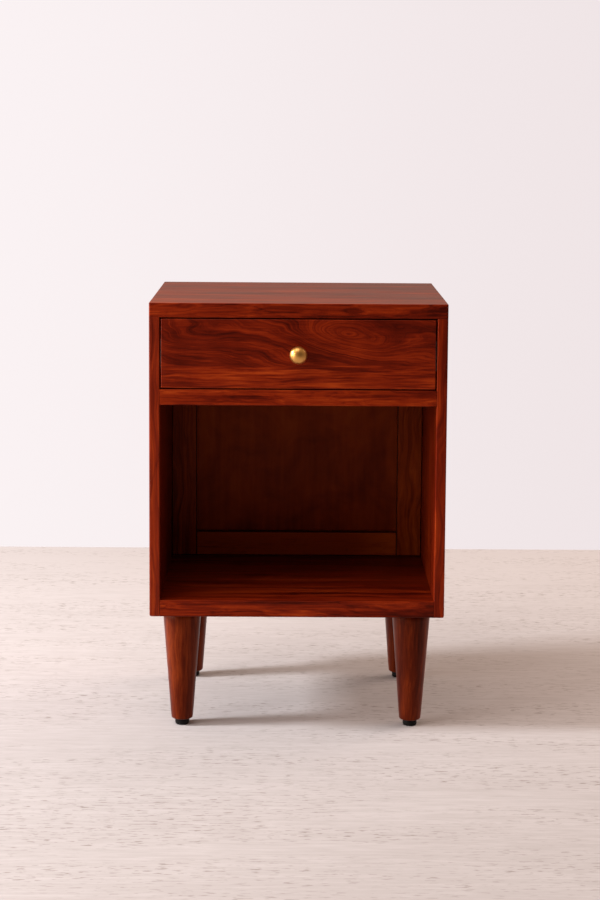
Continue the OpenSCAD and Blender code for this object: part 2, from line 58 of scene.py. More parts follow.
class Graph:
    """A material's node tree, with one short call for each kind of node."""

    def __init__(self, name):
        self.material = bpy.data.materials.new(name)
        self.material.use_nodes = True
        self.nodes = self.material.node_tree.nodes
        self.links = self.material.node_tree.links
        self.nodes.clear()
        self.surface = self.nodes.new("ShaderNodeOutputMaterial").inputs["Surface"]
        coordinates = self.nodes.new("ShaderNodeTexCoord")
        self.position = coordinates.outputs["Object"]
        self.normal = coordinates.outputs["Normal"]

    def feed(self, socket, value):
        """Links a socket to another, or sets it to a constant."""
        if isinstance(value, bpy.types.NodeSocket):
            self.links.new(value, socket)
        else:
            socket.default_value = value

    def math(self, operation, *values):
        node = self.nodes.new("ShaderNodeMath")
        node.operation = operation
        for socket, value in zip(node.inputs, values):
            self.feed(socket, value)
        return node.outputs[0]

    def vector(self, operation, *values):
        node = self.nodes.new("ShaderNodeVectorMath")
        node.operation = operation
        for socket, value in zip(node.inputs, values):
            self.feed(socket, value)
        return node.outputs[0]

    def split(self, vector):
        node = self.nodes.new("ShaderNodeSeparateXYZ")
        self.feed(node.inputs[0], vector)
        return list(node.outputs)

    def join(self, x, y, z):
        node = self.nodes.new("ShaderNodeCombineXYZ")
        for socket, value in zip(node.inputs, (x, y, z)):
            self.feed(socket, value)
        return node.outputs[0]

    def scaled(self, places, scales):
        """A vector of three places, each multiplied by its own scale."""
        return self.join(*(self.math("MULTIPLY", p, s) for p, s in zip(places, scales)))

    def noise(self, vector, scale=1.0, detail=4.0, roughness=0.55, distortion=0.0):
        node = self.nodes.new("ShaderNodeTexNoise")
        self.feed(node.inputs["Vector"], vector)
        for key, value in (("Scale", scale), ("Detail", detail), ("Roughness", roughness),
                           ("Distortion", distortion)):
            node.inputs[key].default_value = value
        return node.outputs["Fac"]

    def random(self, value):
        """A random number and a random colour for each value."""
        node = self.nodes.new("ShaderNodeTexWhiteNoise")
        node.noise_dimensions = "1D"
        self.feed(node.inputs["W"], value)
        return node.outputs["Value"], node.outputs["Color"]

    def remap(self, value, low, high, to_low=0.0, to_high=1.0, smooth=True):
        node = self.nodes.new("ShaderNodeMapRange")
        node.interpolation_type = "SMOOTHSTEP" if smooth else "LINEAR"
        for socket, v in zip(node.inputs, (value, low, high, to_low, to_high)):
            self.feed(socket, v)
        return node.outputs[0]

    def ramp(self, value, stops):
        node = self.nodes.new("ShaderNodeValToRGB")
        elements = node.color_ramp.elements
        while len(elements) < len(stops):
            elements.new(1.0)
        for element, (place, colour) in zip(elements, stops):
            element.position = place
            element.color = (*colour, 1.0)
        self.feed(node.inputs[0], value)
        return node.outputs[0]

    def mix(self, share, a, b):
        """Colour a where share is nothing, and colour b where it is one."""
        node = self.nodes.new("ShaderNodeMix")
        node.data_type = "RGBA"
        for key, value in ((0, share), (6, a), (7, b)):
            self.feed(node.inputs[key], (*value, 1.0) if isinstance(value, tuple) else value)
        return node.outputs[2]

    def bump(self, height, strength, distance):
        node = self.nodes.new("ShaderNodeBump")
        node.inputs["Strength"].default_value = strength
        node.inputs["Distance"].default_value = distance
        self.feed(node.inputs["Height"], height)
        return node.outputs["Normal"]

    def principled(self, colour, roughness, normal=None, **fixed):
        """Ends the graph with its shader; fixed values go on the shader's own sockets."""
        node = self.nodes.new("ShaderNodeBsdfPrincipled")
        self.feed(node.inputs["Base Color"], colour)
        self.feed(node.inputs["Roughness"], roughness)
        if normal is not None:
            self.feed(node.inputs["Normal"], normal)
        for key, value in fixed.items():
            node.inputs[key.replace("_", " ")].default_value = value
        self.links.new(node.outputs[0], self.surface)
        return self.material


# ---------------------------------------------------------------- wood and plywood

# Tones of each wood, from its dark streaks to its bright ones, and where on the tone scale they stand
RED_WOOD = ((0.034, 0.0014, 0.0003), (0.105, 0.0060, 0.0009),
            (0.190, 0.0150, 0.0018), (0.320, 0.0400, 0.0045))
LEG_WOOD = ((0.030, 0.0020, 0.0003), (0.075, 0.0070, 0.0010),
            (0.140, 0.0180, 0.0026), (0.240, 0.0420, 0.0070))
FRAME_WOOD = ((0.060, 0.0050, 0.0005), (0.140, 0.0140, 0.0010),
              (0.230, 0.0290, 0.0020), (0.330, 0.0500, 0.0040))
BOX_WOOD = ((0.140, 0.0600, 0.0250), (0.260, 0.1300, 0.0600),
            (0.360, 0.2000, 0.1000), (0.440, 0.2700, 0.1500))
STOPS = (0.20, 0.42, 0.60, 0.84)

# The stained lacquer tints what it reflects
TINT = (1.0, 0.38, 0.26, 1.0)

# How far a seed moves the place in the wood, along the grain and across it twice
SEED_STEPS = (1.37, 0.61, 0.43)

# Noise scales per metre, along the grain and across it
WARP = (3.4, 9.0)
STREAKS = (2.6, 46.0)
LINES = (7.0, 280.0)
VEINS = (1.9, 17.0)
MOTTLE = (9.0, 24.0)
FIBRE = (16.0, 560.0)
PORES = (110.0, 1900.0)

# Growth rings: the offsets of their centre across the grain, their width, and how far streaks bend them
PITH = (0.045, -0.06)
RING_WIDTH = 0.0085
RING_BEND = 0.012

# Staves: how far each is moved along the grain and across it, and how much their tones differ
STAVE_JUMP = 3.0
STAVE_SLIP = 0.9
STAVE_TONE = 0.14

VEIN_WIDTH = 0.016
VEIN_DARK = -0.13
PORE_SHARE = 0.35
GRAIN_DEPTH = 0.0002
WOOD_ROUGH_SPREAD = 0.12

# The dark line round a frame member, partly its joint's dark lacquer and partly painted shadow in the gap:
# how far it reaches, how strong it is, and its colour
JOINT_AND_SHADOW_REACH = 0.0016
JOINT_AND_SHADOW_SHARE = 0.85
JOINT_AND_SHADOW_COLOUR = (0.004, 0.0004, 0.0001)

# The height about which the painted light and shade slope
MIDDLE_Z = 0.36


def grain_axes(g, grain, seed):
    """The place along the grain and the two across it, moved by seed so that no two boards match."""
    x, y, z = g.split(g.position)
    order = {"x": (x, y, z), "y": (y, x, z), "z": (z, x, y)}[grain]
    return [g.math("ADD", axis, seed * step) for axis, step in zip(order, SEED_STEPS)]


def drawn_out(g, place, scales, detail=4.0, roughness=0.6, distortion=0.0):
    """Noise that is longer along the grain than across it."""
    along, across = scales
    return g.noise(g.scaled(place, (along, across, across)), 1.0, detail, roughness, distortion)


def vein(g, field, width):
    """Thin lines where a slow noise crosses its middle value."""
    return g.remap(g.math("ABSOLUTE", g.math("SUBTRACT", field, 0.5)), 0.0, width, 1.0, 0.0)


def blend_tone(g, *layers):
    """Adds layers of (value, weight) to a middle tone, each about its own middle."""
    tone = 0.5
    for value, weight in layers:
        tone = g.math("MULTIPLY_ADD", g.math("SUBTRACT", value, 0.5), weight, tone)
    return tone


def uneven(g, field, roughness, spread):
    """Roughness that varies by spread about its middle, as a field from nothing to one does."""
    return g.math("MULTIPLY_ADD", field, spread, roughness - spread / 2)


def painted_falloff(g, shade, light_slope):
    """A tone shift that changes with the distance from the middle of the case's front by light_slope per
    metre, as painted light and shade.
    """
    for axis, middle, rate in zip(g.split(g.position), (0.0, FRONT_Y, MIDDLE_Z), light_slope):
        if rate:
            shade = g.math("MULTIPLY_ADD", g.math("SUBTRACT", axis, middle), rate, shade)
    return shade


def near_edge(g, node, reach):
    """One close to the outline of a node's box, as seen from the front, and nothing past reach from it."""
    lo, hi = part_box(node)
    x, _, z = g.split(g.position)
    gaps = [g.math("ABSOLUTE", g.math("SUBTRACT", axis, face))
            for axis, face in ((x, lo.x), (x, hi.x), (z, lo.z), (z, hi.z))]
    nearest = g.math("MINIMUM", g.math("MINIMUM", gaps[0], gaps[1]), g.math("MINIMUM", gaps[2], gaps[3]))
    return g.remap(nearest, reach / 2, reach, 1.0, 0.0)


def cut_staves(g, place, width, across, seed):
    """Each stave's own place in the wood, and its tone shift. across picks the first or second cross axis."""
    along, a, b = place
    index = g.math("FLOOR", g.math("DIVIDE", place[across], width))
    value, colour = g.random(g.math("ADD", index, seed))
    jump, slip, _ = g.split(colour)
    along = g.math("ADD", along, g.math("MULTIPLY", jump, STAVE_JUMP))
    a = g.math("ADD", a, g.math("MULTIPLY", slip, STAVE_SLIP))
    return (along, a, b), g.math("MULTIPLY_ADD", value, STAVE_TONE, -STAVE_TONE / 2)


def growth_rings(g, a, b, streaks):
    """Rings round a pith that lies beside the board."""
    squares = [g.math("POWER", g.math("ADD", axis, offset), 2.0) for axis, offset in zip((a, b), PITH)]
    radius = g.math("SQRT", g.math("ADD", *squares))
    bent = g.math("ADD", radius, g.math("MULTIPLY", streaks, RING_BEND))
    return g.math("PINGPONG", g.math("DIVIDE", bent, RING_WIDTH), 1.0)


def wood(name, grain, tones, seed, stave=0.0, across=1, shade=0.0, light_slope=(0.0, 0.0, 0.0), streak=1.0,
         figure=0.07, roughness=0.36, specular=0.22, coat=0.0, joints=None, painted_top_light=0.0):
    """Solid wood with growth rings, streaks, dark veins, pores and glued staves, under satin lacquer.

    stave is the staves' width, figure is how far the grain wanders, painted_top_light is painted light that
    brightens faces that look up, light_slope is painted light and shade across the case, and joints names a
    node that gets a dark line round its front outline, partly its joint's dark lacquer and partly painted
    shadow.
    """
    g = Graph(name)
    place = grain_axes(g, grain, seed)
    # Painted light and shade: the tone slopes across the case by light_slope.
    shift = painted_falloff(g, shade, light_slope)
    # Painted light: faces that look up get a brighter tone.
    if painted_top_light:
        shift = g.math("MULTIPLY_ADD", g.split(g.normal)[2], painted_top_light, shift)
    if stave:
        place, stave_shift = cut_staves(g, place, stave, across, seed)
        shift = g.math("ADD", stave_shift, shift)
    along, a, b = place
    warp = g.math("MULTIPLY_ADD", drawn_out(g, place, WARP, 3.0), figure, -figure / 2)
    warped = (along, g.math("ADD", a, warp), b)
    streaks = drawn_out(g, warped, STREAKS, 8.0, 0.66, 0.3)
    lines = drawn_out(g, warped, LINES, 4.0, 0.62)
    rings = growth_rings(g, warped[1], b, streaks)
    mottle = drawn_out(g, place, MOTTLE, 3.0)
    fibre = drawn_out(g, place, FIBRE, 3.0)
    dark_vein = vein(g, drawn_out(g, warped, VEINS, 5.0, 0.55, 0.4), VEIN_WIDTH)
    tone = blend_tone(g, (streaks, 1.15 * streak), (lines, 0.75 * streak), (rings, 0.10), (mottle, 0.30),
                      (fibre, 0.30))
    tone = g.math("ADD", g.math("MULTIPLY_ADD", dark_vein, VEIN_DARK * streak, tone), shift)
    colour = g.ramp(tone, list(zip(STOPS, tones)))
    open_pore = g.remap(drawn_out(g, place, PORES, 1.0), 0.60, 0.72)
    colour = g.mix(g.math("MULTIPLY", open_pore, PORE_SHARE), colour, tones[0])
    # The dark line is partly the joint's dark lacquer and partly painted shadow where the members meet.
    if joints:
        line = g.math("MULTIPLY", near_edge(g, joints, JOINT_AND_SHADOW_REACH), JOINT_AND_SHADOW_SHARE)
        colour = g.mix(line, colour, JOINT_AND_SHADOW_COLOUR)
    height = g.math("SUBTRACT", g.math("MULTIPLY", fibre, 0.4), open_pore)
    return g.principled(colour, uneven(g, mottle, roughness, WOOD_ROUGH_SPREAD),
                        g.bump(height, 0.12, GRAIN_DEPTH), Specular_IOR_Level=specular,
                        Specular_Tint=TINT, Coat_Weight=coat, Coat_Roughness=0.3)


# ---------------------------------------------------------------- the drawer front's figured board

# Ovals on the board: the middle and the half widths, in metres right of and above the board's middle
EYE_X, EYE_Z, EYE_WIDE, EYE_HIGH = 0.078, 0.026, 0.080, 0.024
KNOT_X, KNOT_Z, KNOT_WIDE, KNOT_HIGH = -0.162, 0.024, 0.060, 0.026
GLOW_X, GLOW_Z, GLOW_WIDE, GLOW_HIGH = 0.125, -0.002, 0.050, 0.022
EYE_LEAN = 0.012

# How much the grain slants, and how far the eye and the knot push it up
GRAIN_SLANT = 0.26
EYE_PUSH = 0.060
KNOT_PUSH = 0.022
WOBBLE = 0.036

# The lower band fades in between these two heights, along a ragged edge
BAND_TOP, BAND_FULL, BAND_RAGGED = -0.0135, -0.0205, 0.022


def oval(g, u, v):
    """One in the middle of an oval and nothing far outside it, for distances in half widths."""
    squares = g.math("ADD", g.math("POWER", u, 2.0), g.math("POWER", v, 2.0))
    return g.math("EXPONENT", g.math("MULTIPLY", squares, -1.0))


def offset_oval(g, x, z, middle_x, middle_z, wide, high):
    return oval(g, g.math("DIVIDE", g.math("SUBTRACT", x, middle_x), wide),
                g.math("DIVIDE", g.math("SUBTRACT", z, middle_z), high))


def leaning_eye(g, x, z):
    """The eye's oval, which leans as it widens."""
    u = g.math("DIVIDE", g.math("SUBTRACT", x, EYE_X), EYE_WIDE)
    v = g.math("ADD", g.math("SUBTRACT", z, EYE_Z), g.math("MULTIPLY", u, EYE_LEAN))
    return oval(g, u, g.math("DIVIDE", v, EYE_HIGH))


def swirl_tone(g, x, z, wobble, mottle, fibre):
    """The board's upper part: streaks and veins that flow round the eye and the knot, with painted shade
    towards the right.
    """
    knot = offset_oval(g, x, z, KNOT_X, KNOT_Z, KNOT_WIDE, KNOT_HIGH)
    glow = offset_oval(g, x, z, GLOW_X, GLOW_Z, GLOW_WIDE, GLOW_HIGH)
    bulge = g.math("MULTIPLY_ADD", leaning_eye(g, x, z), EYE_PUSH, wobble)
    flow = g.math("ADD", g.math("MULTIPLY_ADD", x, GRAIN_SLANT, z), bulge)
    flow = g.math("MULTIPLY_ADD", knot, KNOT_PUSH, flow)
    swirl = g.noise(g.scaled((flow, x, 3.7), (60.0, 2.4, 1.0)), 1.0, 8.0, 0.66)
    lines = g.noise(g.scaled((flow, x, 8.1), (330.0, 7.0, 1.0)), 1.0, 3.0, 0.6)
    veins = vein(g, g.noise(g.scaled((flow, x, 5.3), (30.0, 1.6, 1.0)), 1.0, 5.0, 0.55), 0.014)
    tone = blend_tone(g, (swirl, 0.85), (lines, 0.70), (mottle, 0.40), (fibre, 0.26))
    tone = g.math("ADD", g.math("MULTIPLY_ADD", veins, -0.09, tone),
                  g.math("MULTIPLY_ADD", glow, 0.07, -0.09))
    # Painted shade: the tone darkens towards the right of the board, away from the window; the knot darkens
    # its own wood.
    return g.math("MULTIPLY_ADD", knot, -0.10, g.math("MULTIPLY_ADD", x, -0.12, tone))


def band_tone(g, x, y, z, wobble, mottle, fibre):
    """The board's lower part: straight grain, a little brighter."""
    band_z = g.math("ADD", z, g.math("MULTIPLY", wobble, 0.22))
    band = g.noise(g.scaled((x, y, band_z), (6.0, 60.0, 105.0)), 1.0, 8.0, 0.68, 0.5)
    lines = g.noise(g.scaled((x, y, band_z), (14.0, 60.0, 380.0)), 1.0, 3.0, 0.6)
    return g.math("ADD", blend_tone(g, (band, 1.50), (lines, 0.85), (mottle, 0.30), (fibre, 0.26)), -0.01)


def figured_wood(name, node):
    """The drawer front's board: a swirl round an eye, slanting streaks and a bright straight-grained band."""
    g = Graph(name)
    lo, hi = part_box(node)
    middle = (lo + hi) / 2
    x, y, z = g.split(g.position)
    x = g.math("SUBTRACT", x, middle.x)
    z = g.math("SUBTRACT", z, middle.z)
    wobble = g.noise(g.scaled((x, y, z), (13.0, 1.0, 30.0)), 1.0, 3.0, 0.45)
    wobble = g.math("MULTIPLY_ADD", wobble, WOBBLE, -WOBBLE / 2)
    mottle = g.noise(g.scaled((x, y, z), (18.0, 1.0, 30.0)), 1.0, 5.0)
    fibre = g.noise(g.scaled((x, y, z), (24.0, 560.0, 560.0)), 1.0, 3.0)
    ragged = g.noise(g.scaled((x, y, z), (11.0, 1.0, 90.0)), 1.0, 5.0, 0.6)
    edge = g.math("ADD", g.math("MULTIPLY_ADD", wobble, 0.25, z),
                  g.math("MULTIPLY_ADD", ragged, BAND_RAGGED, -BAND_RAGGED / 2))
    in_band = g.remap(edge, BAND_TOP, BAND_FULL)
    upper = swirl_tone(g, x, z, wobble, mottle, fibre)
    lower = band_tone(g, x, y, z, wobble, mottle, fibre)
    tone = g.math("ADD", g.math("MULTIPLY", upper, g.math("SUBTRACT", 1.0, in_band)),
                  g.math("MULTIPLY", lower, in_band))
    colour = g.ramp(tone, list(zip(STOPS, RED_WOOD)))
    return g.principled(colour, uneven(g, mottle, 0.34, WOOD_ROUGH_SPREAD), g.bump(fibre, 0.10, GRAIN_DEPTH),
                        Specular_IOR_Level=0.22, Specular_Tint=TINT, Coat_Weight=0.06, Coat_Roughness=0.20)


# ---------------------------------------------------------------- other materials

PLY_THICK = 0.0012
PLY_SHADE = 0.09
MARK_DEPTH = 0.0001


def plywood(name, tones, seed, plies, roughness, light_slope=(0.0, 0.0, 0.0)):
    """Sheet with a blotchy stained face and thin crossed plies on its edges, stacked along the plies axis,
    with painted light and shade sloping by light_slope.
    """
    g = Graph(name)
    x, y, z = g.split(g.position)
    blotch = g.noise(g.join(g.math("ADD", x, seed), y, z), 11.0, 5.0, 0.6, 0.6)
    grain = g.noise(g.scaled((x, y, z), (90.0, 90.0, 7.0)), 1.0, 4.0)
    tone = g.math("MULTIPLY_ADD", g.math("SUBTRACT", grain, 0.5), 0.35,
                  g.math("MULTIPLY_ADD", g.math("SUBTRACT", blotch, 0.5), 0.8, 0.5))
    ply = g.math("PINGPONG", g.math("DIVIDE", {"y": y, "z": z}[plies], PLY_THICK), 1.0)
    tone = g.math("MULTIPLY_ADD", g.math("SUBTRACT", ply, 0.5), 0.06, tone)
    # Painted light and shade slope into the sheet's tone by light_slope.
    colour = g.ramp(g.math("ADD", tone, painted_falloff(g, PLY_SHADE, light_slope)), list(zip(STOPS, tones)))
    return g.principled(colour, uneven(g, blotch, roughness, 0.14), g.bump(grain, 0.08, GRAIN_DEPTH),
                        Specular_IOR_Level=0.22, Specular_Tint=TINT)


def metal(name, colour, dark, roughness, stretch, coat=0.0):
    """Metal with fine working marks, scaled per axis by stretch, and a faint tarnish."""
    g = Graph(name)
    marks = g.noise(g.vector("MULTIPLY", g.position, stretch), 1.0, 4.0, 0.6)
    cloud = g.noise(g.position, 60.0, 4.0)
    tint = g.mix(g.remap(cloud, 0.35, 0.75, 0.0, 0.35), colour, dark)
    rough = g.math("ADD", uneven(g, marks, roughness, 0.16), g.math("MULTIPLY", cloud, 0.06))
    return g.principled(tint, rough, g.bump(marks, 0.05, MARK_DEPTH), Metallic=1.0, Coat_Weight=coat,
                        Coat_Roughness=0.16)


def plastic(name):
    """Black moulded plastic with a fine spark-eroded texture and dusty patches."""
    g = Graph(name)
    texture = g.noise(g.position, 2600.0, 2.0)
    dust = g.noise(g.position, 140.0, 4.0)
    colour = g.mix(g.remap(dust, 0.55, 0.80, 0.0, 0.25), (0.005, 0.0040, 0.0038), (0.022, 0.018, 0.016))
    return g.principled(colour, uneven(g, dust, 0.475, 0.15), g.bump(texture, 0.15, MARK_DEPTH),
                        Specular_IOR_Level=0.1)


# ---------------------------------------------------------------- mesh helpers

def add_piece(name, mesh, material, body, nodes):
    """Puts a mesh in the scene as a piece that rides on a body and stands for CAD nodes."""
    piece = bpy.data.objects.new(name, mesh)
    bpy.context.scene.collection.objects.link(piece)
    mesh.materials.append(material)
    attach(piece, body)
    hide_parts(*nodes)
    return piece


def face_key(normal):
    """A face's direction as one of -x, +x, -y, +y, -z, +z."""
    axis = max(range(3), key=lambda i: abs(normal[i]))
    return ("+" if normal[axis] > 0 else "-") + "xyz"[axis]


def board(node, material, radii, least=0.0004, segments=4):
    """A board in the place of a CAD node, its edges eased by the radius given for the two faces that meet."""
    lo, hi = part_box(node)
    mesh = bpy.data.meshes.new(node)
    bm = bmesh.new()
    bmesh.ops.create_cube(bm, size=1.0)
    for v in bm.verts:
        v.co = Vector((lo[i] + (v.co[i] + 0.5) * (hi[i] - lo[i])) for i in range(3))
    widest = max([least, *radii.values()])
    weight = bm.edges.layers.float.new("bevel_weight_edge")
    for edge in bm.edges:
        key = frozenset(face_key(f.normal) for f in edge.link_faces)
        edge[weight] = radii.get(key, least) / widest
    bmesh.ops.recalc_face_normals(bm, faces=bm.faces)
    bm.to_mesh(mesh)
    bm.free()
    for polygon in mesh.polygons:
        polygon.use_smooth = True
    piece = add_piece("board_" + node, mesh, material, BODY_OF[node], [node])
    bevel = piece.modifiers.new("eased", "BEVEL")
    bevel.limit_method = "WEIGHT"
    bevel.width = widest
    bevel.segments = segments
    bevel.harden_normals = True
    return piece


def edges(**radii):
    """Radii by pair of faces: front_top=r rounds the edge where the front and top faces meet."""
    faces = {"left": "-x", "right": "+x", "front": "-y", "back": "+y", "under": "-z", "top": "+z"}
    return {frozenset(faces[f] for f in pair.split("_")): r for pair, r in radii.items()}


def lathe(name, profile, centre, axis, material, body, nodes, steps=96):
    """A turned piece: profile is (radius, height) pairs, turned about the axis through centre."""
    mesh = bpy.data.meshes.new(name)
    bm = bmesh.new()
    rings = []
    for radius, height in profile:
        if radius < 1e-6:
            rings.append([bm.verts.new((0, 0, height))])
        else:
            turn = [2 * math.pi * i / steps for i in range(steps)]
            rings.append([bm.verts.new((radius * math.cos(t), radius * math.sin(t), height)) for t in turn])
    for low, high in zip(rings, rings[1:]):
        for i in range(steps):
            j = (i + 1) % steps
            corners = [low[i % len(low)], low[j % len(low)], high[j % len(high)], high[i % len(high)]]
            face = list(dict.fromkeys(corners))
            if len(face) > 2:
                bm.faces.new(face)
    bmesh.ops.recalc_face_normals(bm, faces=bm.faces)
    to_axis = Vector(axis).to_track_quat("Z", "Y").to_matrix().to_4x4()
    bm.transform(Matrix.Translation(centre) @ to_axis)
    bm.to_mesh(mesh)
    bm.free()
    for polygon in mesh.polygons:
        polygon.use_smooth = True
    return add_piece(name, mesh, material, body, nodes)


def arc(centre, radius, start, end, steps):
    """Points of an arc, in degrees, as (radius from the axis, height) pairs."""
    angles = [math.radians(start + (end - start) * i / steps) for i in range(steps + 1)]
    return [(centre[0] + radius * math.cos(t), centre[1] + radius * math.sin(t)) for t in angles]


def foot_of(lo, hi):
    """The middle of a box's underside."""
    return Vector(((lo.x + hi.x) / 2, (lo.y + hi.y) / 2, lo.z))


# ---------------------------------------------------------------- the object

# Radii of eased edges: a board's outer arris, its inner ones, and edges that meet another board
SOFT = 0.0024
EASE = 0.0015
JOINT = 0.0003
TOP_EASE = 0.0011
CORNER = 0.003
FRONT_EASE = 0.0014

LEG_FOOT_RADIUS = 0.01675
LEG_FOOT_EASE = 0.0026
LEG_STEPS = 12

GLIDE_EASE = 0.0028
GLIDE_RIM = 0.0005

# The knob, from the drawer front outwards: its neck's radius, and how far out its ball is widest and starts
KNOB_NECK = 0.0065
KNOB_RIM = 0.0150
KNOB_BALL_START = 0.0080
KNOB_UNDER_STEPS = 10
KNOB_STEP_DEGREES = 7.5


def make_case_boards():
    """The top, the sides, the divider and the bottom, of staves glued side by side."""
    # Painted light and shade: the top darkens towards the right, away from the window, and its upward face is
    # brighter, a painted sheen.
    board("top_panel",
          wood("wood_top", "x", RED_WOOD, 3.1, stave=0.085, shade=-0.10, light_slope=(-0.18, 0.0, 0.0),
               streak=0.95, specular=0.24, painted_top_light=0.11),
          edges(front_top=TOP_EASE, back_top=TOP_EASE, left_top=TOP_EASE, right_top=TOP_EASE,
                left_front=SOFT, right_front=SOFT, left_back=SOFT, right_back=SOFT), JOINT)
    board("left_side",
          wood("wood_left_side", "z", RED_WOOD, 5.3, stave=0.09, across=2, streak=0.85, specular=0.36),
          edges(left_front=SOFT, right_front=EASE, left_back=EASE, right_back=EASE,
                left_under=CORNER, front_under=EASE), JOINT)
    board("right_side",
          wood("wood_right_side", "z", RED_WOOD, 7.9, stave=0.09, across=2, streak=0.85),
          edges(right_front=SOFT, left_front=EASE, left_back=EASE, right_back=EASE,
                right_under=CORNER, front_under=EASE), JOINT)
    # Painted shade: the divider darkens towards the right, away from the window.
    board("divider_panel",
          wood("wood_divider", "x", RED_WOOD, 11.4, stave=0.08, shade=-0.04, light_slope=(-0.30, 0.0, 0.0),
               figure=0.12),
          edges(front_top=0.0008, front_under=0.0012), JOINT)
    # Painted light and shade: the cubby's floor darkens towards the right and towards the back, and its
    # upward face is brighter.
    board("bottom_panel",
          wood("wood_bottom", "x", RED_WOOD, 13.7, stave=0.08, light_slope=(-0.25, -0.60, 0.0), painted_top_light=0.08),
          edges(front_top=0.0012, front_under=EASE, back_top=EASE, back_under=EASE), JOINT)


def make_drawer_front():
    """One figured board with the same easing on all the edges of its face and ends."""
    pairs = ("front_top", "front_left", "front_right", "front_under",
             "left_top", "right_top", "left_under", "right_under")
    board("drawer_front", figured_wood("wood_drawer_front", "drawer_front"),
          edges(**{pair: FRONT_EASE for pair in pairs}), 0.0006)


def make_leg(corner, seed):
    """A straight taper from the case to a foot with an eased rim."""
    node = corner + "_leg"
    lo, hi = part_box(node)
    top, height = (hi.x - lo.x) / 2, hi.z - lo.z
    lean = (top - LEG_FOOT_RADIUS) / height
    slant = -math.degrees(math.atan(lean))
    profile = [(0, 0), *arc((LEG_FOOT_RADIUS - LEG_FOOT_EASE, LEG_FOOT_EASE), LEG_FOOT_EASE, -90, slant, 8)]
    profile += [(LEG_FOOT_RADIUS + lean * height * t / LEG_STEPS, height * t / LEG_STEPS)
                for t in range(1, LEG_STEPS)]
    profile += [(top, height), (0, height)]
    material = wood("wood_" + node, "z", LEG_WOOD, seed, streak=0.7, figure=0.05, roughness=0.34,
                    specular=0.20)
    lathe("turned_" + node, profile, foot_of(lo, hi), (0, 0, 1), material, BODY_OF[node], [node])


def make_glide(corner, material):
    """A round glide, well rounded below and crisp above."""
    node = corner + "_glide"
    lo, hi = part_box(node)
    radius, height = (hi.x - lo.x) / 2, hi.z - lo.z
    profile = [(0, 0), *arc((radius - GLIDE_EASE, GLIDE_EASE), GLIDE_EASE, -90, 0, 8),
               *arc((radius - GLIDE_RIM, height - GLIDE_RIM), GLIDE_RIM, 0, 90, 3), (0, height)]
    lathe("moulded_" + node, profile, foot_of(lo, hi), (0, 0, 1), material, BODY_OF[node], [node])


def make_knob():
    """A brass knob: a small base and a neck, then a ball with a flatter face."""
    brass = metal("brass_satin", (0.66, 0.33, 0.080), (0.44, 0.19, 0.038), 0.33, (900.0, 60.0, 900.0),
                  coat=0.35)
    lo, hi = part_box("knob")
    radius, reach = (hi.x - lo.x) / 2, hi.y - lo.y
    start = -math.degrees(math.acos(KNOB_NECK / radius))
    under = (KNOB_RIM - KNOB_BALL_START) / math.sin(math.radians(-start))
    profile = [(0, 0), (KNOB_NECK + 0.0012, 0), (KNOB_NECK + 0.0014, 0.0004), (KNOB_NECK + 0.0014, 0.0012),
               (KNOB_NECK + 0.0004, 0.0020), (KNOB_NECK, 0.0032), (KNOB_NECK, 0.0070)]
    for i in range(KNOB_UNDER_STEPS + 1):
        t = math.radians(start * (1 - i / KNOB_UNDER_STEPS))
        profile.append((radius * math.cos(t), KNOB_RIM + under * math.sin(t)))
    for i in range(1, int(90 / KNOB_STEP_DEGREES)):
        t = math.radians(KNOB_STEP_DEGREES * i)
        profile.append((radius * math.cos(t), KNOB_RIM + (reach - KNOB_RIM) * math.sin(t)))
    profile.append((0, reach))
    lathe("turned_knob", profile, Vector(((lo.x + hi.x) / 2, hi.y, (lo.z + hi.z) / 2)), (0, -1, 0),
          brass, BODY_OF["knob"], ["knob"])


def slot_materials():
    """Materials of the CAD nodes that keep their own shape, by slot."""
    return {
        # Painted light: the stained back panel is made brighter towards its top.
        "stained_plywood": plywood("plywood_stained", FRAME_WOOD, 2.0, "y", 0.42, (0.0, 0.0, 0.30)),
        "drawer_plywood": plywood("plywood_clear", BOX_WOOD, 9.0, "z", 0.55),
        "dowel_wood": wood("wood_dowel", "x", BOX_WOOD, 41.0, roughness=0.6),
        "zinc_steel": metal("zinc_plate", (0.58, 0.59, 0.60), (0.42, 0.43, 0.45), 0.32,
                            (700.0, 700.0, 700.0)),
        "slide_steel": metal("zinc_rolled", (0.56, 0.57, 0.59), (0.40, 0.41, 0.43), 0.34,
                             (900.0, 12.0, 900.0)),
        "cage_steel": metal("steel_cage", (0.46, 0.46, 0.47), (0.30, 0.30, 0.31), 0.30,
                            (900.0, 40.0, 900.0)),
        "insert_brass": metal("brass_machined", (0.66, 0.47, 0.20), (0.45, 0.30, 0.12), 0.30,
                              (60.0, 60.0, 1500.0)),
    }


def node_materials():
    """Materials of the CAD nodes whose wood is their own: the back frame and the drawer box."""
    # Columns: node, name, grain, seed and tone shift. The tone shifts are painted light: the right stile and,
    # far more, the bottom rail are made brighter than the left stile, where more light reaches them in the
    # cubby.
    frame_members = (("back_left_stile", "left_stile", "z", 17.2, 0.02),
                     ("back_right_stile", "right_stile", "z", 19.8, 0.08),
                     ("back_bottom_rail", "bottom_rail", "x", 23.1, 0.40),
                     ("back_top_rail", "top_rail", "x", 29.5, 0.0))
    materials = {node: wood("wood_" + name, grain, FRAME_WOOD, seed, shade=shade, joints=node)
                 for node, name, grain, seed, shade in frame_members}
    box_boards = (("drawer_left_side", "drawer_left", "y", 43.0),
                  ("drawer_right_side", "drawer_right", "y", 47.0),
                  ("drawer_back", "drawer_back", "x", 53.0))
    for node, name, grain, seed in box_boards:
        materials[node] = wood("wood_" + name, grain, BOX_WOOD, seed, streak=0.7, roughness=0.45, coat=0.05)
    return materials


